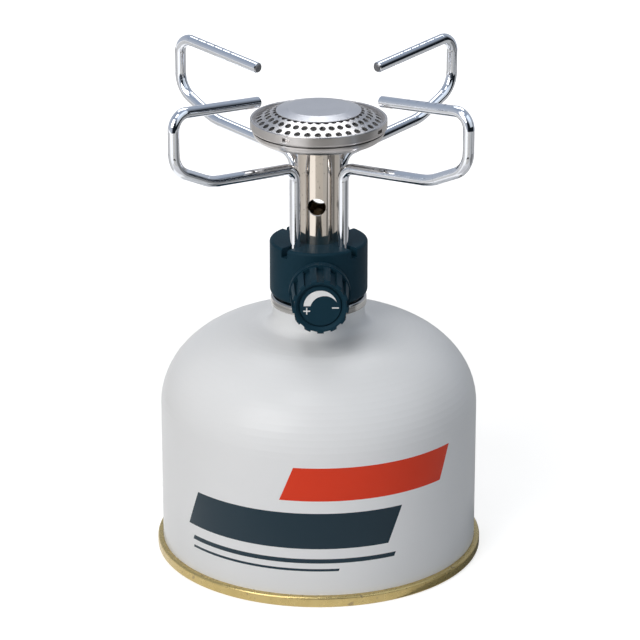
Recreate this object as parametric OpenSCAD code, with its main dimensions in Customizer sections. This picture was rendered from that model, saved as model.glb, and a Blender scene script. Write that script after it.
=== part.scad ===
// Canister-top backpacking stove with four swivelling wire pot supports, on its gas canister.
// Millimetres. +Z is up, the origin is at the centre of the canister's foot, and the knob faces -Y.

/* [Canister] */
// Outside diameter of the canister's wall
can_d = 110; // [95:1:125]
// Height of the straight wall's top above the ground
wall_top = 53.3; // [40:0.1:90]
// Rise of the domed shoulder above the straight wall
shoulder_h = 29; // [22:0.5:36]
// Thickness of the steel sheet
sheet = 0.6; // [0.4:0.05:0.8]
// How far the bottom seam stands out from the wall
seam_out = 1.9; // [1.4:0.1:2.6]
// Height of the bottom seam
seam_h = 3.9; // [3:0.1:5]
// Height of the floor of the seam's groove, where the wall's edge sits
seam_floor = 1.3; // [1:0.1:1.8]
// Height of the concave bottom at its centre
base_dish = 9; // [5:0.5:14]
// Outside diameter of the neck that the valve cup is clinched on
neck_d = 32; // [30:0.2:36]
// Radius of the hollow between shoulder and neck
neck_fillet = 4; // [2:0.5:6]

/* [Canister valve] */
// Height of the valve cup's rim above the shoulder
rim_rise = 10.7; // [9:0.1:14]
// Height of the cup's rolled rim
rim_h = 3; // [2:0.1:4]
// Thickness of the cup's tinplate
cup_sheet = 0.5; // [0.3:0.05:0.7]
// Thickness of the rubber between cup and neck
gasket_t = 0.4; // [0.3:0.05:0.6]
// Depth of the cup below its rim
cup_depth = 6.6; // [5:0.1:8]
// Outside diameter of the threaded boss
boss_d = 11.1; // [10:0.05:13]
// Height of the boss above the cup's floor
boss_h = 10.6; // [9:0.1:12]
// Wall of the boss
boss_wall = 1; // [0.8:0.05:1.3]
// Thickness of the rubber ring that the valve closes on
valve_gasket_t = 1.2; // [0.8:0.1:1.6]
// Diameter of the valve stem
stem_d = 3.2; // [2.6:0.1:3.6]
// How far the stove's pin holds the stem down
stem_travel = 1.5; // [1:0.1:2]
// Length of the housing below the valve gasket
housing_l = 13; // [11:0.5:16]
// Wire diameter of the valve spring
spring_wire = 0.5; // [0.4:0.05:0.6]
// Turns of the valve spring
spring_turns = 5; // [3:1:6]

/* [Valve core] */
// Gap between the block and the cup's rim when screwed home
block_gap = 0.4; // [0.2:0.1:1]
// Gap between the core and the cup's floor when screwed home
core_gap = 0.8; // [0.4:0.1:1.5]
// Thickness of the inlet seal
seal_t = 1.5; // [1:0.1:2]
// Depth of the filter pocket
filter_h = 1.2; // [0.8:0.1:1.3]
// Diameter of the opening pin
pin_d = 1.6; // [1:0.1:2]
// Step of the core outside the tube that the tube stands on
core_step = 0.5; // [0.3:0.1:0.8]
// Height of the spigot inside the tube
spigot_h = 3.5; // [2:0.5:5]
// Diameter of the jet's body
jet_d = 7.2; // [6.4:0.1:9]
// Height of the jet above the spigot
jet_h = 9.5; // [8:0.5:14]

/* [Block] */
// Height of the block
block_h = 19.5; // [17:0.5:24]
// Wall outside the legs
block_wall = 3.5; // [3:0.05:6]
// Rounding of the block's top edge
block_edge = 1; // [0.5:0.1:1.5]
// Rounding of the block's bottom edge
block_foot = 1.9; // [1:0.1:2.5]
// Width of the slots that split the leg bores
slot_w = 2.8; // [2:0.1:3.4]
// Depth of the slots
slot_depth = 3.2; // [2:0.1:5]
// Depth that the tube goes into the block
tube_depth = 7; // [5:0.5:8]

/* [Control knob] */
// Height of the knob's axis above the block's underside
knob_axis_h = 7; // [6.8:0.1:9]
// Gap between the block and the knob
knob_gap = 1.8; // [1.2:0.1:3]
// Length of the knob
knob_l = 16.1; // [14:0.1:18]
// Diameter over the flutes, beside the back flange
knob_d = 20.2; // [18.5:0.1:23]
// How much narrower the knob is at its front
knob_taper = 1; // [0.4:0.1:1.2]
// How far the back flange stands out from the flutes
flange_out = 0.35; // [0:0.05:0.6]
// Thickness of the back flange
flange_t = 3.4; // [1:0.1:4]
// Number of flutes
flutes = 13; // [9:1:17]
// Width of a flute
flute_w = 2.4; // [1.5:0.1:2.8]
// Depth of a flute
flute_depth = 1.3; // [0.5:0.1:1.4]
// Diameter of the front disc
cap_d = 14.2; // [12:0.1:15]
// Depth of the recess that the front disc sits in
cap_recess = 2.1; // [1.8:0.1:2.4]
// How far the front disc lies below the knob's front
cap_sink = 0.7; // [0.4:0.1:1]
// Diameter of the spindle
spindle_d = 3.2; // [2.8:0.1:3.4]
// Distance that the knob and spindle screw out
spindle_travel = 1.4; // [0.8:0.1:1.6]
// Diameter of the gland's head
gland_d = 8.8; // [8:0.1:9.4]

/* [Burner tube] */
// Outside diameter of the tube
tube_d = 14.4; // [14:0.1:18]
// Wall of the tube
tube_wall = 0.8; // [0.5:0.05:1]
// Height of the tube above the block
tube_rise = 33.4; // [28:0.1:44]
// Diameter of the air holes
air_d = 6.2; // [4:0.1:7]
// Height of the air holes above the block
air_h = 13.4; // [12.5:0.1:20]
// Turn of the air holes about the tube
air_turn = -6.6; // [-45:0.1:45]

/* [Burner head] */
// Diameter over the rim
head_d = 46.6; // [42:0.1:54]
// Height of the bowl, from the tube's end to the rim
bowl_h = 6.1; // [5:0.1:8]
// Rise of the bowl's cone from the tube to its foot
bowl_cone = 2.5; // [1:0.1:3]
// Sheet of the burner head
head_sheet = 0.7; // [0.5:0.05:0.9]
// How far the rim stands out from the bowl
rim_out = 0.8; // [0.4:0.1:1.2]
// Height of the rim's wall
rim_wall_h = 3.7; // [2.6:0.1:4.4]
// Thickness of the rim
rim_t = 1; // [0.8:0.1:1.2]
// Depth of the perforated cone's edge below the rim's top
plate_sink = 1.1; // [0.6:0.1:1.6]
// Rise of the perforated cone
plate_rise = 3.5; // [2.5:0.1:5]
// Sheet of the perforated plate
plate_sheet = 0.45; // [0.35:0.05:0.7]
// Rounding of the rim's lower edge
rim_hem = 0.7; // [0.3:0.1:0.7]
// Diameter of the centre cap
cap_lip_d = 29; // [26:0.1:31]
// Diameter of the centre cap's flat top
cap_flat_d = 21.4; // [18:0.1:25]
// Thickness of the centre cap
cap_t = 1.2; // [0.6:0.05:2]
// Flame holes in a row
row_holes = 36; // [24:1:40]
// Rows of flame holes
rows = 3; // [1:1:3]
// Diameter of a flame hole
flame_d = 2.2; // [1:0.05:2.2]
// Turn of the burner head's holes and windows about the tube
head_turn = -1.7; // [-5:0.1:5]
// Gap between the gauze and the perforated cone
gauze_gap = 0.8; // [0.8:0.1:1.3]

/* [Pot supports] */
// Diameter of the wire
wire_d = 3.8; // [3:0.1:4.2]
// Gap between the tube and a leg
leg_gap = 2.35; // [1.6:0.05:3]
// Depth of a leg below the block's top
leg_depth = 17.3; // [14:0.1:17.4]
// Drop of the lower bar below the burner bowl, at the leg
bar_drop = 5.6; // [4.5:0.1:10]
// Slope of the bars, in degrees
bar_slope = 6; // [0:0.5:10]
// Reach of an arm, from its leg to its outer side
arm_reach = 56; // [50:0.5:62]
// Length of the lower bar, from its leg to the corner of its rise
arm_knee = 39.3; // [34:0.1:40]
// Height of the outer side
arm_side = 19; // [17:0.5:21]
// Height of the outer top corner above the centre cap
pot_gap = 11.9; // [10:0.1:18]
// Gap between the burner's rim and the bar's free end, seen from above
end_gap = 5.2; // [2:0.1:9]
// Radius of the tight bends, at the middle of the wire
bend_r = 5.2; // [4.5:0.1:6]
// Radius of the wide bend between the lower bar and its rise, at the middle of the wire
sweep_r = 20; // [10:1:24]
// Radius of the bend into the outer side, at the middle of the wire
knee_r = 9; // [6:0.5:10]
// Grip notches on a bar
notches = 5; // [0:1:6]
// Pitch of the grip notches
notch_pitch = 4; // [3:0.1:4.5]
// Depth of a grip notch
notch_depth = 0.45; // [0.2:0.05:0.8]

/* [Fits] */
// Radial clearance of parts that turn or slide in each other
run_fit = 0.06; // [0.03:0.01:0.1]
// Clearance of parts that are fixed together
seat_fit = 0.05; // [0.03:0.01:0.1]

/* [Hidden] */
$fn = 64;

// Overcut of a drill or cutter past the face it starts from
over = 1;
can_r = can_d / 2;
seam_r = can_r + seam_out;
seam_round = 0.9;
neck_r = neck_d / 2;
dome_r = neck_r + neck_fillet;
dome_top = wall_top + shoulder_h;

rim_top = dome_top + rim_rise;
rim_r = neck_r + seat_fit + cup_sheet;
neck_top = rim_top - cup_sheet - gasket_t;
gasket_r = neck_r - sheet - seat_fit;
cup_r = gasket_r - gasket_t;
cup_floor = rim_top - cup_depth;
boss_r = boss_d / 2;
boss_top = cup_floor + boss_h;
boss_lip = 0.8;
boss_in = boss_r - boss_wall;
stem_r = stem_d / 2;
stem_head = 1.2;
gasket_top = boss_top - boss_lip;
gasket_low = gasket_top - valve_gasket_t;
housing_r = boss_in - seat_fit;
housing_wall = 0.9;
housing_in = housing_r - housing_wall;
housing_low = gasket_low - housing_l;
// The stem is held down by its travel, and stays clear of the gasket when it is up
stem_play = 0.05;
stem_seat = gasket_low - stem_play - stem_travel;
stem_tip = stem_seat + valve_gasket_t + 0.6;
spring_low = housing_low + housing_wall;
spring_top = stem_seat - stem_head;
spring_r = housing_in - spring_wire / 2 - 0.25;

tube_r = tube_d / 2;
tube_in = tube_r - tube_wall;
wire_r = wire_d / 2;
leg_r = tube_r + leg_gap + wire_r;
leg_bore = wire_r + run_fit;
block_r = leg_r + wire_r + block_wall;
block_z = rim_top + block_gap;
block_top = block_z + block_h;
leg_end = block_top - leg_depth;
ring_wire = 0.8;
// Half the width of the groove for a snap ring
ring_room = ring_wire / 2 + 0.1;
ring_z = leg_end + 1.6;
ring_r = wire_r + run_fit / 2;

core_r = tube_r + core_step;
core_low = cup_floor + core_gap;
core_top = block_top - tube_depth;
spigot_r = tube_in - seat_fit;
socket_r = boss_r + run_fit;
seal_gap = 0.1;
seal_low = boss_top + seal_gap;
socket_top = seal_low + seal_t + seal_gap;
filter_r = 2.4;
filter_top = socket_top + filter_h;
pin_r = pin_d / 2;
pin_tip = stem_tip + stem_play;
jet_sink = 2.5;
jet_low = core_top - jet_sink;
jet_shank = 2.4;
jet_base = core_top + spigot_h;

knob_z = block_z + knob_axis_h;
spindle_r = spindle_d / 2;
seat_d = 3;
seat_l = 2;
needle_bore = 1.5;
needle_play = 0.2;
needle_r = needle_bore - needle_play;
needle_tip = 0.3;
needle_taper = 1.6;
gland_r = gland_d / 2;
gland_lip = 1;
gland_shank = gland_r - gland_lip;
gland_gap = 0.3;
gland_in = max(socket_r + gland_gap, seat_d + seat_l);
gland_lead = 1.9;
gland_step = core_r + seat_fit + gland_lead;
gland_proud = 0.6;
gland_out = block_r + gland_proud;
gland_guide = 2.4;
gland_wall = 0.85;
chamber_r = gland_shank - gland_wall;
chamber_out = gland_out - gland_guide;
thread_r = chamber_r - run_fit;
thread_lead = 0.4;
thread_low = gland_in + thread_lead;
seal_w = 1.2;
seal_room = 0.2;
// The spindle's stop collar, which meets the gland when the valve is fully open
stop_t = 0.6;
stop_gap = 0.15;
stop_play = 0.4;
stop_r = thread_r - stop_gap;
seal_d = chamber_out - spindle_travel - seal_w - seal_room - stop_t - stop_play;
stop_low = seal_d + seal_w + seal_room;

knob_back = block_r + knob_gap;
knob_front = knob_back + knob_l;
knob_r = knob_d / 2;
knob_wall = 2.2;
knob_bevel = 0.45;
nose_r = (knob_d - knob_taper) / 2;
flute_lead = 0.3;
cap_seat = knob_front - cap_recess;
cap_r = cap_d / 2;
cap_play = 0.2;
// The recess flares out in front of the disc
dish_r = cap_r + 1.15;
screw_head = 1.5;
screw_r = 0.95;
screw_head_r = 2.3;
screw_l = 6;
screw_gap = 0.4;
spindle_end = cap_seat - screw_head - screw_gap;
screw_tip = spindle_end - screw_l + screw_gap / 2;
hub_r = spindle_r + 2;
cap_front = knob_front - cap_sink;
mark_t = 0.15;
// The marks keep their place on the disc
mark_k = cap_r / 7.1;

tube_top = block_top + tube_rise;
air_z = block_top + air_h;
head_r = head_d / 2;
bowl_r = head_r - rim_out;
bowl_round = 3;
// The bowl is necked in where the rim's hem closes over it
neck_in = 0.5;
bowl_foot = tube_top + bowl_cone;
plate_low = tube_top + bowl_h;
collar_r = tube_in - seat_fit;
collar_l = 4;
rim_z = plate_low + rim_wall_h;
rim_in = head_r - rim_t;
cone_r = rim_in - 0.3;
cone_z = rim_z - plate_sink;
// The plate's flat goes out a little past the cap's lip
plate_ledge = 0.6;
flat_r = cap_lip_d / 2 + plate_ledge;
flat_z = cone_z + plate_rise;
cone_angle = atan2(plate_rise, cone_r - flat_r);
// Radius of the inside of the ring under the plate, clear of the outermost flame holes
ring_in = bowl_r - head_sheet - 0.3;
// The first row lies on the fold between the flat and the cone, half under the cap's lip
row_lead = -0.45;
row_first = flat_r + row_lead;
row_land = 0.25;
row_last = ring_in - flame_d / 2 * cos(cone_angle) - row_land;
cap_top = flat_z + cap_t;
window_w = 3;
window_h = 1.2;
window_depth = 1.2;
window_turn = -27;

// Corners of a pot support's wire, as distance from the leg and height
bar_z = tube_top - bar_drop;
side_top = cap_top + pot_gap;
end_s = head_r + end_gap - leg_r;
wire_path = [
    [0, leg_end],
    [0, bar_z],
    [arm_knee, bar_z + arm_knee * tan(bar_slope)],
    [arm_reach, side_top - arm_side],
    [arm_reach, side_top],
    [end_s, side_top - (arm_reach - end_s) * tan(bar_slope)]
];
wire_bends = [0, bend_r, sweep_r, knee_r, bend_r, 0];
wire_chamfer = 0.6;
// The bends are a little thicker than the straights, whose ends go into them
bend_swell = 0.03;
bend_lap = 0.3;
notch_last = arm_reach - 10;

function arc(c, r, a0, a1, n = 8) = [
    for (i = [0:n]) let (a = a0 + (a1 - a0) * i / n) c + r * [cos(a), sin(a)]
];
function heading(a, b) = atan2(b[1] - a[1], b[0] - a[0]);
function turn(t) = t > 180 ? t - 360 : t < -180 ? t + 360 : t;
// Angle that the wire turns through at a corner
function corner(i) = turn(heading(wire_path[i], wire_path[i + 1]) - heading(wire_path[i - 1], wire_path[i]));
// Length that a bend takes off each of the straights beside it
function bend_cut(i) = wire_bends[i] == 0 ? 0 : wire_bends[i] * tan(abs(corner(i)) / 2);

// The canister's outline, moved inwards by a depth
function shell_side(depth) = concat(
    [[can_r - depth, seam_floor]],
    [
        for (i = [0:20]) let (a = 90 * i / 20)
        [dome_r + (can_r - dome_r - depth) * cos(a), wall_top + (shoulder_h - depth) * sin(a)]
    ],
    arc([dome_r, dome_top + neck_fillet], neck_fillet + depth, 270, 180),
    [[neck_r - depth, neck_top]]
);

// Points of the valve spring's middle line
spring_rings = 8;
spring_pitch = (spring_top - spring_low - 2 * spring_wire) / spring_turns;
spring_path = [
    for (i = [0:spring_turns * spring_rings]) let (a = 360 * i / spring_rings)
    [spring_r * cos(a), spring_r * sin(a), spring_low + spring_wire + spring_pitch * i / spring_rings]
];
spring_gap = min([
    for (i = [0:len(spring_path) - 1]) for (j = [i + spring_rings / 2:len(spring_path) - 1])
    norm(spring_path[i] - spring_path[j])
]) - spring_wire;
echo(valve_spring_gap = spring_gap);

module turned(points) rotate_extrude($fn = 96) polygon(points);

module drum(r, low, high) translate([0, 0, low]) cylinder(r = r, h = high - low);

module ring(inner, outer, low, high) turned([[inner, low], [outer, low], [outer, high], [inner, high]]);

// Turns local +Z into the knob's axis, which points to the front
module front() translate([0, 0, knob_z]) rotate([90, 0, 0]) children();

// The four legs stand on the diagonals
module legs() for (a = [45:90:315]) rotate(a) translate([leg_r, 0, 0]) children();

module canister_shell() color("gainsboro") {
    outer = shell_side(0);
    inner = shell_side(sheet);
    turned(concat(outer, [for (i = [len(inner) - 1:-1:0]) inner[i]]));
}

module canister_base() color("darkgoldenrod") {
    wall_out = can_r - sheet - seat_fit;
    wall_in = wall_out - 1.2;
    dish_low = 1;
    dish_r = (pow(wall_in, 2) + pow(base_dish - dish_low, 2)) / (2 * (base_dish - dish_low));
    dish_turn = asin(wall_in / dish_r);
    turned(concat(
        [[wall_in + 0.5, 0], [seam_r - seam_round, 0]],
        arc([seam_r - seam_round, seam_round], seam_round, -90, 0),
        arc([seam_r - seam_round, seam_h - seam_round], seam_round, 0, 90),
        [
            [can_r + seat_fit, seam_h], [can_r + seat_fit, seam_floor], [wall_out, seam_floor],
            [wall_out, seam_h + 2], [wall_in, seam_h + 2], [wall_in, dish_low + sheet]
        ],
        arc([0, base_dish + sheet - dish_r], dish_r, 90 - dish_turn, 90, 16),
        arc([0, base_dish - dish_r], dish_r, 90, 90 - dish_turn, 16)
    ));
}

module valve_cup() color("silver") {
    roll = 0.9;
    floor_low = cup_floor - cup_sheet;
    turned(concat(
        [[neck_r + seat_fit, neck_top], [neck_r + seat_fit, rim_top - rim_h], [rim_r, rim_top - rim_h]],
        arc([rim_r - roll, rim_top - roll], roll, 0, 90),
        arc([cup_r - cup_sheet + roll, rim_top - roll], roll, 90, 180),
        [
            [cup_r - cup_sheet, cup_floor], [boss_r, cup_floor], [boss_r, boss_top], [stem_r + 0.4, boss_top],
            [stem_r + 0.4, gasket_top], [boss_in, gasket_top], [boss_in, floor_low], [cup_r, floor_low],
            [cup_r, neck_top + gasket_t], [neck_r + seat_fit, neck_top + gasket_t]
        ]
    ));
}

module cup_gasket() color("dimgray")
    turned([
        [cup_r + seat_fit, cup_floor], [gasket_r, cup_floor], [gasket_r, neck_top], [neck_r, neck_top],
        [neck_r, neck_top + gasket_t - seat_fit], [cup_r + seat_fit, neck_top + gasket_t - seat_fit]
    ]);

module valve_gasket() color("dimgray") ring(stem_r + 0.15, housing_r, gasket_low, gasket_top);

module valve_housing() color("whitesmoke")
    turned([
        [0.8, housing_low], [housing_r, housing_low], [housing_r, gasket_low], [housing_in, gasket_low],
        [housing_in, spring_low], [0.8, spring_low]
    ]);

module valve_stem() color("white")
    turned([
        [0, spring_top], [housing_in - 0.3, spring_top], [housing_in - 0.3, stem_seat], [stem_r, stem_seat],
        [stem_r, stem_tip], [0, stem_tip]
    ]);

module valve_spring() color("slategray") {
    sides = 6;
    count = len(spring_path);
    points = [
        for (i = [0:count - 1]) let (p = spring_path[i], out = [p[0], p[1], 0] / spring_r)
        for (k = [0:sides - 1]) let (b = 360 * k / sides)
        p + spring_wire / 2 * (out * cos(b) + [0, 0, sin(b)])
    ];
    walls = [
        for (i = [0:count - 2]) for (k = [0:sides - 1])
        let (a = i * sides + k, b = i * sides + (k + 1) % sides)
        each [[a, b, b + sides], [a, b + sides, a + sides]]
    ];
    last = (count - 1) * sides;
    ends = [for (k = [1:sides - 2]) each [[0, k + 1, k], [last, last + k, last + k + 1]]];
    polyhedron(points, concat(walls, ends));
}

module valve_core() color("peru")
    difference() {
        union() {
            drum(core_r, core_low, core_top);
            drum(spigot_r, core_top - over, jet_base);
        }
        drum(socket_r, core_low - over, socket_top);
        drum(filter_r + seat_fit, socket_top - over, filter_top);
        drum(1, knob_z, jet_low + over);
        drum(jet_shank + seat_fit, jet_low, jet_base + over);
        front() {
            drum(0.8, 0, seat_d + over);
            drum(needle_bore, seat_d, gland_in + over);
            drum(gland_shank + seat_fit, gland_in, core_r + over);
        }
        translate([0, 0, (socket_top + filter_top) / 2]) rotate([90, 0, 0])
            drum(0.35, filter_r - over, seat_d + over);
    }

module inlet_seal() color("dimgray") ring(stem_r + 1, boss_in + 0.2, seal_low, seal_low + seal_t);

module inlet_filter() color("sienna") ring(pin_r + seat_fit, filter_r, socket_top, filter_top);

module opening_pin() color("goldenrod") {
    tip = 0.4;
    turned([
        [0, pin_tip], [pin_r - tip, pin_tip], [pin_r, pin_tip + tip], [pin_r, filter_top], [0, filter_top]
    ]);
}

module jet() color("goldenrod") {
    jet_r = jet_d / 2;
    top = jet_base + jet_h;
    cone = 3;
    turned([
        [0.8, jet_low], [jet_shank, jet_low], [jet_shank, jet_base], [jet_r, jet_base], [jet_r, top - cone],
        [1.3, top], [0.25, top], [0.25, top - 1], [0.8, top - 1.5]
    ]);
}

module block() color("darkslategray")
    difference() {
        turned(concat(
            [[0, block_z], [block_r - block_foot, block_z]],
            arc([block_r - block_foot, block_z + block_foot], block_foot, -90, 0),
            arc([block_r - block_edge, block_top - block_edge], block_edge, 0, 90),
            [[0, block_top]]
        ));
        drum(core_r + seat_fit, block_z - over, core_top + seat_fit);
        drum(tube_r + seat_fit, core_top, block_top + over);
        legs() {
            drum(leg_bore, leg_end - 0.2, block_top + over);
            drum(ring_r + ring_room, ring_z - ring_room, ring_z + ring_room);
            translate([0, -slot_w / 2, block_top - slot_depth]) cube([block_r, slot_w, slot_depth + over]);
        }
        front() {
            drum(gland_shank + seat_fit, 0, gland_step + over);
            drum(gland_r + seat_fit, gland_step, block_r + over);
        }
    }

module gland() color("goldenrod") front()
    turned([
        [chamber_r, gland_in], [gland_shank, gland_in], [gland_shank, gland_step], [gland_r, gland_step],
        [gland_r, gland_out], [spindle_r + run_fit, gland_out], [spindle_r + run_fit, chamber_out],
        [chamber_r, chamber_out]
    ]);

module spindle() color("silver") front()
    difference() {
        turned([
            [0, seat_d - needle_tip], [needle_tip, seat_d - needle_tip], [needle_r, seat_d + needle_taper],
            [needle_r, thread_low], [thread_r, thread_low], [thread_r, seal_d - seal_room],
            [spindle_r, seal_d - seal_room], [spindle_r, stop_low], [stop_r, stop_low],
            [stop_r, stop_low + stop_t], [spindle_r, stop_low + stop_t], [spindle_r, spindle_end],
            [0, spindle_end]
        ]);
        drum(screw_r + seat_fit, spindle_end - screw_l, spindle_end + over);
    }

module spindle_seal() color("dimgray") front()
    ring(spindle_r + run_fit, chamber_r - run_fit, seal_d, seal_d + seal_w);

module knob() color("darkslategray") front()
    difference() {
        turned([
            [0, knob_back], [knob_r + flange_out - 0.4, knob_back], [knob_r + flange_out, knob_back + 0.4],
            [knob_r + flange_out, knob_back + flange_t], [knob_r, knob_back + flange_t],
            [nose_r, knob_front - knob_bevel], [nose_r - knob_bevel, knob_front], [0, knob_front]
        ]);
        difference() {
            drum(knob_r - flute_depth - knob_wall + 1, knob_back - over, cap_seat - screw_head - knob_wall);
            drum(hub_r, knob_back, knob_front);
        }
        drum(spindle_r + seat_fit, knob_back - over, spindle_end);
        drum(screw_r + 0.2, spindle_end - over, cap_seat);
        drum(screw_head_r + 0.2, cap_seat - screw_head, knob_front);
        turned([
            [0, cap_seat], [cap_r + cap_play, cap_seat], [cap_r + cap_play, cap_front - 0.3],
            [dish_r, knob_front], [dish_r, knob_front + over], [0, knob_front + over]
        ]);
        for (i = [0:flutes - 1]) rotate(90 + 360 * i / flutes)
            translate([knob_r - flute_depth, -flute_w / 2, knob_back + flange_t + flute_lead])
                cube([flute_depth + flange_out + over, flute_w, knob_l]);
    }

module knob_screw() color("silver") front()
    difference() {
        turned([
            [0, screw_tip], [screw_r, screw_tip], [screw_r, cap_seat - screw_head],
            [screw_head_r, cap_seat - screw_head], [screw_head_r, cap_seat - 0.2], [0, cap_seat - 0.2]
        ]);
        for (a = [0, 90]) rotate(a) translate([-1.2, -0.3, cap_seat - 0.9]) cube([2.4, 0.6, 2]);
    }

module knob_cap() color("darkslategray") front() {
    edge = 0.35;
    turned([
        [0, cap_seat], [cap_r, cap_seat], [cap_r, cap_front - edge], [cap_r - edge, cap_front], [0, cap_front]
    ]);
}

// A tapered arc over the top of the disc, a plus where it is wide and a minus where it ends
module knob_marks() color("white") front() translate([0, 0, cap_front]) linear_extrude(mark_t) scale(mark_k) {
    stroke = 0.4;
    intersection() {
        difference() {
            circle(5.65);
            translate([1.35, -1.1]) circle(4.87);
        }
        translate([-6, 0.2]) square([12, 6]);
    }
    for (a = [0, 90]) translate([-4.6, -1.6]) rotate(a) square([2.3, stroke], center = true);
    translate([5, -0.5]) square([2.3, stroke], center = true);
}

module leg_rings() color("silver") legs() translate([0, 0, ring_z])
    rotate_extrude() translate([ring_r, 0]) circle(d = ring_wire);

module burner_tube() color("tan")
    difference() {
        ring(tube_in, tube_r, core_top, tube_top);
        for (a = [0:90:270]) rotate(a + air_turn) translate([0, 0, air_z]) rotate([90, 0, 0])
            drum(air_d / 2, 0, tube_r + over);
    }

module burner_bowl() color("lightsteelblue") {
    inner = collar_r - head_sheet;
    foot_r = bowl_r - bowl_round;
    knee = [foot_r, bowl_foot + bowl_round];
    neck_out = bowl_r - neck_in;
    turned(concat(
        [[inner, tube_top - collar_l], [collar_r, tube_top - collar_l]],
        [[collar_r, tube_top], [tube_r, tube_top]],
        arc(knee, bowl_round, -84, 0),
        [
            [neck_out, knee[1] + neck_in / 3], [neck_out, plate_low],
            [neck_out - head_sheet, plate_low], [neck_out - head_sheet, knee[1] - neck_in]
        ],
        arc(knee, bowl_round - head_sheet, -asin(neck_in / (bowl_round - head_sheet)), -84),
        [[inner, tube_top + head_sheet]]
    ));
}

module burner_gauze() color("gray") {
    gauze_t = 0.3;
    edge = ring_in - seat_fit;
    fall = (edge - flat_r) * tan(cone_angle);
    top = flat_z - plate_sheet - gauze_gap;
    turned([
        [0, top], [flat_r, top], [edge, top - fall], [edge, top - fall - gauze_t], [flat_r, top - gauze_t],
        [0, top - gauze_t]
    ]);
}

module burner_plate() color("silver") {
    lip = rim_t / 2;
    under = flat_z - plate_sheet;
    difference() {
        turned(concat(
            [[0, flat_z], [flat_r, flat_z], [cone_r, cone_z], [rim_in, cone_z]],
            arc([rim_in + lip, rim_z - lip], lip, 180, 0, 12),
            arc([head_r - rim_hem, plate_low + rim_hem], rim_hem, 0, -90),
            [
                [ring_in, plate_low], [ring_in, under - (ring_in - flat_r) * tan(cone_angle)],
                [flat_r, under], [0, under]
            ]
        ));
        for (row = [0:rows - 1]) let (r = row_first + (row_last - row_first) * row / max(rows - 1, 1))
            for (i = [0:row_holes - 1]) rotate(head_turn + 360 * (i + row / 2) / row_holes)
                translate([r, 0, flat_z - (r - flat_r) * tan(cone_angle)]) rotate([0, cone_angle, 0])
                    drum(flame_d / 2, -2 * head_sheet, head_sheet);
        for (i = [0:3]) rotate(head_turn + window_turn - 90 + 90 * i)
            translate([head_r - window_depth, -window_w / 2, (plate_low + rim_z) / 2 - window_h / 2])
                cube([window_depth + over, window_w, window_h]);
    }
}

module centre_cap() color("lightgray") {
    lip = 0.25;
    turned([
        [0, flat_z], [cap_lip_d / 2, flat_z], [cap_lip_d / 2, flat_z + lip], [cap_flat_d / 2, cap_top],
        [0, cap_top]
    ]);
}

// A straight of the wire, which ends in the bends beside it or in a chamfer
module straight(i) {
    last = len(wire_path) - 2;
    a = wire_path[i];
    b = wire_path[i + 1];
    low = i == 0 ? 0 : bend_cut(i) - bend_lap;
    high = norm(b - a) - (i == last ? 0 : bend_cut(i + 1) - bend_lap);
    translate([a[0], 0, a[1]]) rotate([0, 90 - heading(a, b), 0]) turned(concat(
        [[0, low]],
        i == 0 ? [[wire_r - wire_chamfer, low], [wire_r, low + wire_chamfer]] : [[wire_r, low]],
        i == last ? [[wire_r, high - wire_chamfer], [wire_r - wire_chamfer, high]] : [[wire_r, high]],
        [[0, high]]
    ));
}

module bend(i) {
    p = wire_path[i];
    h = heading(wire_path[i - 1], p);
    t = corner(i);
    r = wire_bends[i];
    cut = bend_cut(i);
    side = sign(t);
    translate([p[0] - cut * cos(h) - side * r * sin(h), 0, p[1] - cut * sin(h) + side * r * cos(h)])
        rotate([90, 0, 0]) rotate(h - side * 90 + min(t, 0))
            rotate_extrude(angle = abs(t)) translate([r, 0]) circle(wire_r + bend_swell);
}

// One bent wire, with its leg on the Z axis and its arm along +X
module wire()
    difference() {
        union() {
            for (i = [0:len(wire_path) - 2]) straight(i);
            for (i = [1:len(wire_path) - 2]) bend(i);
        }
        translate([0, 0, ring_z]) difference() {
            drum(wire_d, -ring_room, ring_room);
            drum(ring_r - ring_room, -ring_wire, ring_wire);
        }
        for (i = [0:1:notches - 1]) notch(notch_last - i * notch_pitch);
    }

module notch(s) {
    top = side_top - (arm_reach - s) * tan(bar_slope) + wire_r / cos(bar_slope);
    wide = 2 * notch_depth;
    translate([s, wire_d, top - notch_depth]) rotate([90, 0, 0])
        linear_extrude(2 * wire_d) polygon([[0, 0], [wide, wide], [-wide, wide]]);
}

module pot_support(turn) color("lightsteelblue") rotate(turn) translate([leg_r, 0, 0]) wire();

module pot_support_front_left() pot_support(225);

module pot_support_front_right() pot_support(315);

module pot_support_rear_left() pot_support(135);

module pot_support_rear_right() pot_support(45);

canister_shell();
canister_base();
valve_cup();
cup_gasket();
valve_gasket();
valve_housing();
valve_stem();
valve_spring();
valve_core();
inlet_seal();
opening_pin();
inlet_filter();
jet();
block();
gland();
spindle();
spindle_seal();
knob();
knob_screw();
knob_cap();
knob_marks();
leg_rings();
burner_tube();
burner_bowl();
burner_gauze();
burner_plate();
centre_cap();
pot_support_front_left();
pot_support_front_right();
pot_support_rear_left();
pot_support_rear_right();
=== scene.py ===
import math

import bmesh
import bpy
from mathutils import Euler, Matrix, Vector

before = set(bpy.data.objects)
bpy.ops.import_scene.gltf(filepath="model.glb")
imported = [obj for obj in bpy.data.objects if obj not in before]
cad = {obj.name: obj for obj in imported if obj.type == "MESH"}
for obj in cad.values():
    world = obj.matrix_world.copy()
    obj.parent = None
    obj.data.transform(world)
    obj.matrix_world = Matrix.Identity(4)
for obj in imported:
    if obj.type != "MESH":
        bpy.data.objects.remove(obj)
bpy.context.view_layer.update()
scene = bpy.context.scene
scene.view_settings.view_transform = "Standard"


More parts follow.
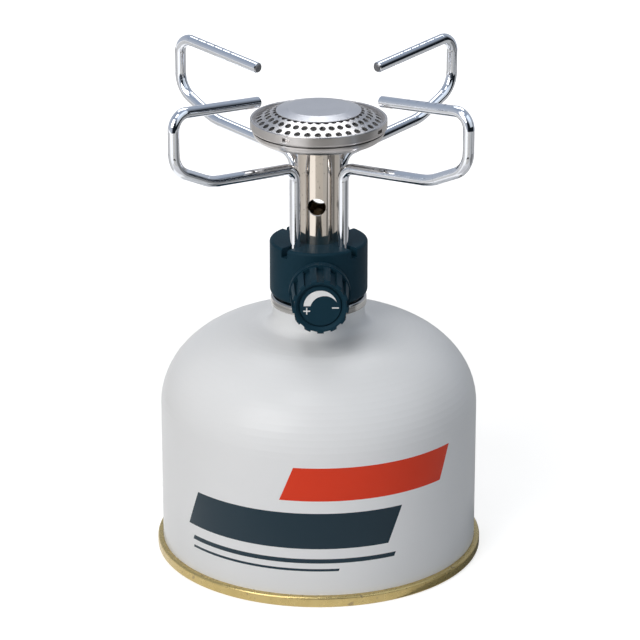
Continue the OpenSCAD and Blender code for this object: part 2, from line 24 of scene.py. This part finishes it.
# Camera: about a metre in front of the knob, looking down on the stove through a long lens,
# so that the canister's sides stay nearly upright. It stands a touch to the left of the axis.
distance = 1.0263
height = 0.4664
swing = math.radians(-1.0)
dip = math.radians(20.49)
aim = math.radians(0.025)
eye = bpy.data.cameras.new("eye")
eye.sensor_width = 36.0
eye.lens = 178.02
eye_stand = bpy.data.objects.new("eye", eye)
eye_stand.location = (distance * math.sin(swing), -distance * math.cos(swing), height)
eye_stand.rotation_euler = Euler((math.pi / 2 - dip, 0, swing - aim))
scene.collection.objects.link(eye_stand)
scene.camera = eye_stand


# Studio: a white table, a big soft lamp at the front left, a dim panel at the right, one above the back and a
# small boom lamp above the front. The room is pale blue-grey, and dark past the table's front and right edges.
# The dark room and cards on the table, which the camera doesn't see, give polished metal its bands; the dark
# wedge by the canister's foot is a painted shadow that only metal shows.
def add(tree, kind, inputs=(), **settings):
    """A node of that kind, with its settings made and each input linked or given its value."""
    made = tree.nodes.new(kind)
    for name, value in settings.items():
        setattr(made, name, value)
    for socket, value in dict(inputs).items():
        if isinstance(value, bpy.types.NodeSocket):
            tree.links.new(value, made.inputs[socket])
        else:
            made.inputs[socket].default_value = value
    return made


def blend(tree, share, below, above):
    """Colour that goes from below to above as share goes from 0 to 1."""
    return add(tree, "ShaderNodeMix", {0: share, 6: below, 7: above}, data_type="RGBA").outputs[2]


def number(tree, operation, first, second=0.0):
    """Sum, product or other result of one or two numbers."""
    return add(tree, "ShaderNodeMath", {0: first, 1: second}, operation=operation).outputs[0]


def ramp(tree, value, low, high, start=0.0, end=1.0):
    """Number that goes from low to high as value goes from start to end."""
    ends = {"From Min": start, "From Max": end, "To Min": low, "To Max": high}
    return add(tree, "ShaderNodeMapRange", {"Value": value, **ends}).outputs[0]


def place_on(tree):
    """X, Y and Z of a point on the piece, in metres."""
    spot = add(tree, "ShaderNodeTexCoord").outputs["Object"]
    return add(tree, "ShaderNodeSeparateXYZ", {0: spot}).outputs


def from_axis(tree, place):
    """How far a point is from the stove's upright axis."""
    squares = [number(tree, "MULTIPLY", place[side], place[side]) for side in "XY"]
    return number(tree, "SQRT", number(tree, "ADD", *squares))


def lay(name, corners, finish):
    """A flat sheet of the studio, as its object."""
    sheet = bpy.data.meshes.new(name)
    shape = bmesh.new()
    shape.faces.new([shape.verts.new(corner) for corner in corners])
    shape.to_mesh(sheet)
    shape.free()
    sheet.materials.append(finish)
    laid = bpy.data.objects.new(name, sheet)
    scene.collection.objects.link(laid)
    return laid


paper = bpy.data.materials.new("white_paper")
paper.use_nodes = True
tree = paper.node_tree
tree.nodes.remove(tree.nodes["Principled BSDF"])
ray = add(tree, "ShaderNodeLightPath").outputs
place = place_on(tree)
in_metal = number(tree, "MAXIMUM", ray["Is Glossy Ray"], ray["Is Transmission Ray"])
# Painted shadow: as metal sees it, the table darkens just right of the canister, standing in for the canister's
# shadow.
painted_shadow_right = ramp(tree, place["X"], 0.7, 0.126, start=0.01, end=0.065)
white_far = ramp(tree, from_axis(tree, place), 0.7, 1.0, start=0.25, end=0.60)
share = number(tree, "MAXIMUM", number(tree, "MULTIPLY", in_metal, painted_shadow_right),
               number(tree, "MULTIPLY", white_far, ray["Is Camera Ray"]))
matt = add(tree, "ShaderNodeBsdfDiffuse", {"Color": (0.56, 0.56, 0.56, 1)})
glow = add(tree, "ShaderNodeEmission", {"Color": (1, 1, 1, 1), "Strength": share})
both = add(tree, "ShaderNodeAddShader", {0: matt.outputs[0], 1: glow.outputs[0]})
tree.links.new(both.outputs[0], tree.nodes["Material Output"].inputs["Surface"])
lay("table", ((-1.6, -0.62, 0), (0.62, -0.62, 0), (0.62, 2.4, 0), (-1.6, 2.4, 0)), paper)

# Painted shadow: a dark wedge on the table right of the canister's foot, seen only in metal, stands in for the
# canister's shadow there.
first_side, last_side = 26, 110
foot_sides = range(first_side, last_side + 1, 12)
foot_ring = [(0.0573, side) for side in foot_sides]
foot_ring += [(0.0575 + 0.0225 * (side - first_side) / (last_side - first_side), side)
              for side in reversed(foot_sides)]
foot_wedge = [(reach * math.sin(math.radians(side)), -reach * math.cos(math.radians(side)))
              for reach, side in foot_ring]
dark_arc = ((-0.079, -0.372), (0.0, -0.380), (0.079, -0.372), (0.132, -0.297), (0.0, -0.325), (-0.132, -0.297))
card_step = 0.0001
for rank, (name, tint, bounces, corners) in enumerate((
    ("painted_shadow_card", (0.20, 0.215, 0.21), False, foot_wedge),
    ("near_card", (0.86, 0.85, 0.86), True, ((-0.17, -0.20), (0.17, -0.20), (0.12, -0.095), (-0.12, -0.095))),
    ("front_card", (0.74, 0.72, 0.69), True, ((-0.20, -0.60), (0.26, -0.60), (0.09, -0.205), (-0.07, -0.205))),
    ("left_card", (0.86, 0.85, 0.84), True, ((-0.75, -0.30), (-0.14, -0.09), (-0.23, 0.80), (-0.75, 0.80))),
    ("right_card", (0.30, 0.30, 0.30), False, ((0.19, -0.24), (0.50, -0.40), (0.50, 0.05), (0.19, 0.02))),
    ("dark_card", (0.006, 0.007, 0.008), True, dark_arc),
), 1):
    card = bpy.data.materials.new(name)
    card.use_nodes = True
    shader = card.node_tree.nodes["Principled BSDF"]
    shader.inputs["Base Color"].default_value = (*tint, 1)
    shader.inputs["Roughness"].default_value = 0.9
    shader.inputs["Specular IOR Level"].default_value = 0.1
    laid = lay(name, [(x, y, card_step * rank) for x, y in corners], card)
    laid.visible_camera = False
    laid.visible_shadow = False
    laid.visible_diffuse = bounces

room = bpy.data.worlds.new("room")
room.use_nodes = True
scene.world = room
tree = room.node_tree
ray = add(tree, "ShaderNodeLightPath").outputs
way = add(tree, "ShaderNodeSeparateXYZ", {0: add(tree, "ShaderNodeTexCoord").outputs["Generated"]}).outputs
upper = ramp(tree, way["Z"], 0.0, 1.0, start=0.30, end=0.75)
to_left = ramp(tree, way["X"], 0.0, 1.0, start=-0.25, end=-0.60)
behind = ramp(tree, way["Y"], 0.0, 1.0, start=0.20, end=0.45)
pale = number(tree, "MAXIMUM", number(tree, "MAXIMUM", to_left, behind), upper)
overhead = ramp(tree, way["Z"], 0.0, 1.0, start=0.10, end=0.80)
pale_room = blend(tree, overhead, (0.52, 0.555, 0.62, 1), (0.34, 0.40, 0.50, 1))
dark_room = (0.008, 0.012, 0.016, 1)
soft_fill = (0.03, 0.032, 0.036, 1)
lit = blend(tree, ray["Is Glossy Ray"], soft_fill, blend(tree, pale, dark_room, pale_room))
clear = number(tree, "MAXIMUM", ray["Is Camera Ray"], ray["Is Transmission Ray"])
tree.links.new(blend(tree, clear, lit, (1, 1, 1, 1)), tree.nodes["Background"].inputs["Color"])

stove_middle = Vector((0, 0, 0.09))
for name, stands, width, depth, watts, tint in (
    ("left_softbox", (-0.80, -0.95, 0.85), 0.9, 0.9, 13.2, (1.0, 0.99, 0.97)),
    ("right_panel", (0.95, -0.65, 0.85), 1.4, 1.4, 4.8, (0.86, 0.93, 1.0)),
    ("top_panel", (0.0, 0.60, 1.20), 0.9, 0.5, 5.0, (0.98, 0.99, 1.0)),
    ("boom_lamp", (-0.20, -0.45, 1.25), 0.35, 0.35, 2.2, (1.0, 1.0, 1.0)),
):
    lamp = bpy.data.lights.new(name, "AREA")
    lamp.shape = "RECTANGLE"
    lamp.size = width
    lamp.size_y = depth
    lamp.energy = watts
    lamp.color = tint
    lamp_stand = bpy.data.objects.new(name, lamp)
    lamp_stand.location = stands
    lamp_stand.rotation_euler = (stove_middle - Vector(stands)).to_track_quat("-Z", "Y").to_euler()
    scene.collection.objects.link(lamp_stand)


# Canister shell: drawn from one steel sheet, lacquered white and printed all round before filling.
# The print is two plain slanted bars, orange-red above and navy below, over two ruled lines, front and back.
def new_finish(name, **settings):
    """A material, its node tree and its shader, with the settings that are the same all over."""
    finish = bpy.data.materials.new(name)
    finish.use_nodes = True
    shader = finish.node_tree.nodes["Principled BSDF"]
    for socket, value in settings.items():
        shader.inputs[socket.replace("_", " ")].default_value = value
    return finish, finish.node_tree, shader


def dress(finish, *names):
    """Gives CAD nodes a finish."""
    for name in names:
        cad[name].data.materials.clear()
        cad[name].data.materials.append(finish)


def grain(tree, size, detail=2.0, stretch=(1, 1, 1)):
    """Noise on the piece itself, with spots of about that size in metres."""
    spot = add(tree, "ShaderNodeMapping", {
        "Vector": add(tree, "ShaderNodeTexCoord").outputs["Object"],
        "Scale": tuple(along / size for along in stretch),
    }).outputs[0]
    return add(tree, "ShaderNodeTexNoise", {"Vector": spot, "Scale": 1.0, "Detail": detail}).outputs[0]


def colour(tree, shader, share, below, above):
    """Gives the finish a colour that wanders from one shade to another."""
    tree.links.new(blend(tree, share, below, above), shader.inputs["Base Color"])


def polish(tree, shader, share, least, most):
    """Gives the finish a roughness that wanders from least to most."""
    tree.links.new(ramp(tree, share, least, most), shader.inputs["Roughness"])


def roughen(tree, shader, relief, depth, strength=1.0):
    """Gives the finish a relief of that depth in metres."""
    bump = add(tree, "ShaderNodeBump", {"Height": relief, "Distance": depth, "Strength": strength})
    tree.links.new(bump.outputs[0], shader.inputs["Normal"])


wall = 0.055
slant = 0.4
orange_red = (0.74, 0.045, 0.012, 1)
navy = (0.012, 0.032, 0.048, 1)
lacquer, tree, shader = new_finish("white_lacquer", Specular_IOR_Level=0.2, Coat_Weight=0.12,
                                   Coat_Roughness=0.2)
place = place_on(tree)
turn = number(tree, "ARCTAN2", place["X"], number(tree, "MULTIPLY", place["Y"], -1.0))
half_turn = add(tree, "ShaderNodeMath", {0: turn, 1: math.pi / 2, 2: -math.pi / 2}, operation="WRAP").outputs[0]
along = number(tree, "MULTIPLY", half_turn, wall)
paint = blend(tree, grain(tree, 0.03), (0.815, 0.825, 0.84, 1), (0.845, 0.85, 0.86, 1))
for ink, middle, length, level, thickness in (
    (orange_red, 0.018, 0.060, 0.0445, 0.0120),
    (navy, -0.012, 0.076, 0.0275, 0.0130),
    (navy, -0.012, 0.076, 0.0165, 0.0016),
    (navy, -0.022, 0.056, 0.0132, 0.0009),
):
    above = number(tree, "SUBTRACT", place["Z"], level)
    lean = number(tree, "SUBTRACT", along, number(tree, "MULTIPLY", above, slant))
    reach = number(tree, "ABSOLUTE", number(tree, "SUBTRACT", lean, middle))
    bar = number(tree, "MULTIPLY", number(tree, "LESS_THAN", number(tree, "ABSOLUTE", above), thickness / 2),
                 number(tree, "LESS_THAN", reach, length / 2))
    paint = blend(tree, bar, paint, ink)
tree.links.new(paint, shader.inputs["Base Color"])
polish(tree, shader, grain(tree, 0.004), 0.30, 0.40)
roughen(tree, shader, grain(tree, 0.0016), 0.00002, 0.35)
dress(lacquer, "canister_shell")


# Canister base: a concave steel bottom, double-seamed to the shell over a bead of compound.
# Its gold lacquer is rubbed and stained on the seam, where cans knock together.
gold, tree, shader = new_finish("gold_lacquer", Metallic=0.75)
stained = blend(tree, grain(tree, 0.005, 4.0, (1, 1, 0.5)), (0.47, 0.35, 0.13, 1), (0.62, 0.49, 0.22, 1))
rubbed = number(tree, "GREATER_THAN", grain(tree, 0.0025, 5.0), 0.66)
colour(tree, shader, number(tree, "MULTIPLY", rubbed, 0.6), stained, (0.24, 0.18, 0.11, 1))
polish(tree, shader, grain(tree, 0.002, 4.0), 0.18, 0.40)
roughen(tree, shader, grain(tree, 0.003), 0.00006, 0.5)
dress(gold, "canister_base")


# Valve cup: bright tinplate, rolled over the shell's neck, with the threaded boss drawn up in its middle.
# Around and inside it sit the rubber gaskets and the plastic plunger with its steel spring.
tinplate, tree, shader = new_finish("tinplate", Metallic=1.0)
# Painted reflection: bright and dark rings stacked up the cup's height, painted into the tinplate's colour.
painted_reflection_rings = ramp(tree, grain(tree, 0.0009, 2.0, (0.05, 0.05, 1)), -0.6, 1.6)
colour(tree, shader, painted_reflection_rings, (0.30, 0.29, 0.28, 1), (0.70, 0.69, 0.67, 1))
polish(tree, shader, grain(tree, 0.001, 3.0, (1, 1, 0.1)), 0.12, 0.28)
dress(tinplate, "valve_cup")

rubber, tree, shader = new_finish("black_rubber", Specular_IOR_Level=0.3)
colour(tree, shader, grain(tree, 0.001), (0.012, 0.012, 0.013, 1), (0.03, 0.03, 0.031, 1))
polish(tree, shader, grain(tree, 0.0006), 0.55, 0.8)
roughen(tree, shader, grain(tree, 0.0004), 0.00003)
dress(rubber, "cup_gasket", "valve_gasket", "inlet_seal", "spindle_seal")

nylon, tree, shader = new_finish("white_nylon")
colour(tree, shader, grain(tree, 0.002), (0.74, 0.73, 0.70, 1), (0.82, 0.82, 0.79, 1))
polish(tree, shader, grain(tree, 0.0008), 0.4, 0.55)
dress(nylon, "valve_housing", "valve_stem")

spring_steel, tree, shader = new_finish("spring_steel", Metallic=1.0)
colour(tree, shader, grain(tree, 0.0015), (0.36, 0.36, 0.38, 1), (0.52, 0.52, 0.54, 1))
polish(tree, shader, grain(tree, 0.0007), 0.22, 0.4)
dress(spring_steel, "valve_spring", "leg_rings", "spindle", "knob_screw")


# Valve core: the turned brass body that screws onto the canister, with its gland and opening pin.
# The jet is tarnished by the heat, and the inlet filter is a ring of sintered bronze.
brass, tree, shader = new_finish("turned_brass", Metallic=1.0)
colour(tree, shader, grain(tree, 0.004), (0.68, 0.47, 0.19, 1), (0.80, 0.60, 0.28, 1))
polish(tree, shader, grain(tree, 0.0006, 2.0, (1, 1, 6)), 0.2, 0.36)
dress(brass, "valve_core", "gland", "opening_pin")

tarnish, tree, shader = new_finish("tarnished_brass", Metallic=1.0)
colour(tree, shader, grain(tree, 0.002, 3.0), (0.10, 0.075, 0.045, 1), (0.20, 0.15, 0.09, 1))
polish(tree, shader, grain(tree, 0.0006), 0.45, 0.6)
dress(tarnish, "jet")

bronze, tree, shader = new_finish("sintered_bronze", Metallic=1.0)
colour(tree, shader, grain(tree, 0.0003), (0.22, 0.13, 0.06, 1), (0.52, 0.34, 0.18, 1))
polish(tree, shader, grain(tree, 0.0003), 0.5, 0.8)
roughen(tree, shader, grain(tree, 0.0003), 0.0001)
dress(bronze, "inlet_filter")


# Block, knob and knob cap: dark teal glass-filled nylon, moulded with a fine spark-eroded texture.
# The dial's marks are pad-printed in white.
teal, tree, shader = new_finish("teal_nylon", Specular_IOR_Level=0.08)
colour(tree, shader, grain(tree, 0.006, 3.0), (0.0068, 0.030, 0.047, 1), (0.0090, 0.036, 0.057, 1))
polish(tree, shader, grain(tree, 0.0007), 0.46, 0.6)
roughen(tree, shader, grain(tree, 0.00025, 3.0), 0.00003, 0.5)
dress(teal, "block", "knob", "knob_cap")

white_ink, tree, shader = new_finish("white_ink")
colour(tree, shader, grain(tree, 0.0012), (0.78, 0.79, 0.80, 1), (0.88, 0.88, 0.88, 1))
polish(tree, shader, grain(tree, 0.0005), 0.4, 0.55)
dress(white_ink, "knob_marks")


# Burner tube: turned steel with a bright, slightly warm nickel plate, pressed onto the valve core.
# The plate shows a few pin-holes, and drag marks from drawing along the tube.
nickel, tree, shader = new_finish("bright_nickel", Metallic=1.0)
plate = blend(tree, grain(tree, 0.006, 3.0, (1, 1, 0.2)), (0.66, 0.58, 0.50, 1), (0.80, 0.74, 0.67, 1))
pin_holes = number(tree, "GREATER_THAN", grain(tree, 0.0007, 1.0), 0.72)
colour(tree, shader, number(tree, "MULTIPLY", pin_holes, 0.7), plate, (0.2, 0.17, 0.14, 1))
polish(tree, shader, grain(tree, 0.0006, 3.0, (1, 1, 0.06)), 0.03, 0.10)
dress(nickel, "burner_tube")


# Burner head: a pressed stainless bowl and a perforated plate, crimped together at the rim, over a wire gauze.
# The pressings are satin with a fine circular grain, and a dark band along the crimp is painted shade.
# The smooth centre cap is spot-welded on the plate.
crimp_level = 0.15215
crimp_half = 0.0003
rings_per_metre = 6000.0
satin, tree, shader = new_finish("satin_stainless", Metallic=1.0)
place = place_on(tree)
ring = number(tree, "MULTIPLY", from_axis(tree, place), rings_per_metre)
rings = add(tree, "ShaderNodeTexNoise", {"W": ring, "Detail": 2.0, "Scale": 1.0},
            noise_dimensions="1D").outputs[0]
pressing = blend(tree, grain(tree, 0.005, 3.0), (0.52, 0.495, 0.48, 1), (0.64, 0.615, 0.60, 1))
# Painted shade: a dark band 0.3 mm either side of the crimp's height, where the rim meets the bowl.
from_crimp = number(tree, "ABSOLUTE", number(tree, "SUBTRACT", place["Z"], crimp_level))
crimp_painted_shade = number(tree, "MULTIPLY", number(tree, "LESS_THAN", from_crimp, crimp_half), 0.5)
colour(tree, shader, crimp_painted_shade, pressing, (0.03, 0.027, 0.025, 1))
polish(tree, shader, rings, 0.2, 0.36)
roughen(tree, shader, rings, 0.00001, 0.4)
dress(satin, "burner_bowl", "burner_plate")

smooth, tree, shader = new_finish("smooth_stainless", Metallic=1.0)
colour(tree, shader, grain(tree, 0.006, 3.0), (0.62, 0.61, 0.62, 1), (0.70, 0.69, 0.70, 1))
polish(tree, shader, grain(tree, 0.0008, 2.0), 0.26, 0.34)
dress(smooth, "centre_cap")

two_wires = 0.0006
gauze, tree, shader = new_finish("steel_gauze", Metallic=1.0)
place = place_on(tree)
waves = [number(tree, "SINE", number(tree, "MULTIPLY", place[side], 2 * math.pi / two_wires)) for side in "XY"]
weave = number(tree, "MULTIPLY", *waves)
colour(tree, shader, number(tree, "ABSOLUTE", weave), (0.16, 0.155, 0.15, 1), (0.68, 0.66, 0.63, 1))
polish(tree, shader, grain(tree, 0.001), 0.4, 0.6)
roughen(tree, shader, weave, 0.0002)
dress(gauze, "burner_gauze")


# Pot supports: four bent steel wires, chromed bright, each turning on its upright leg in the block.
# Grip notches are nicked across the top bars, whose sawn ends are dull.
bar_end = 0.0288
below_bars = 0.158
chrome, tree, shader = new_finish("bright_chrome", Metallic=1.0)
place = place_on(tree)
sawn = number(tree, "MULTIPLY", number(tree, "LESS_THAN", from_axis(tree, place), bar_end),
              number(tree, "GREATER_THAN", place["Z"], below_bars))
bright = blend(tree, grain(tree, 0.01), (0.74, 0.76, 0.80, 1), (0.84, 0.86, 0.90, 1))
dull = blend(tree, grain(tree, 0.0004, 3.0), (0.16, 0.16, 0.165, 1), (0.34, 0.34, 0.35, 1))
colour(tree, shader, sawn, bright, dull)
rubbing = ramp(tree, grain(tree, 0.0015, 4.0), 0.03, 0.11)
tree.links.new(number(tree, "ADD", rubbing, number(tree, "MULTIPLY", sawn, 0.4)), shader.inputs["Roughness"])
dress(chrome, *(name for name in cad if name.startswith("pot_support")))
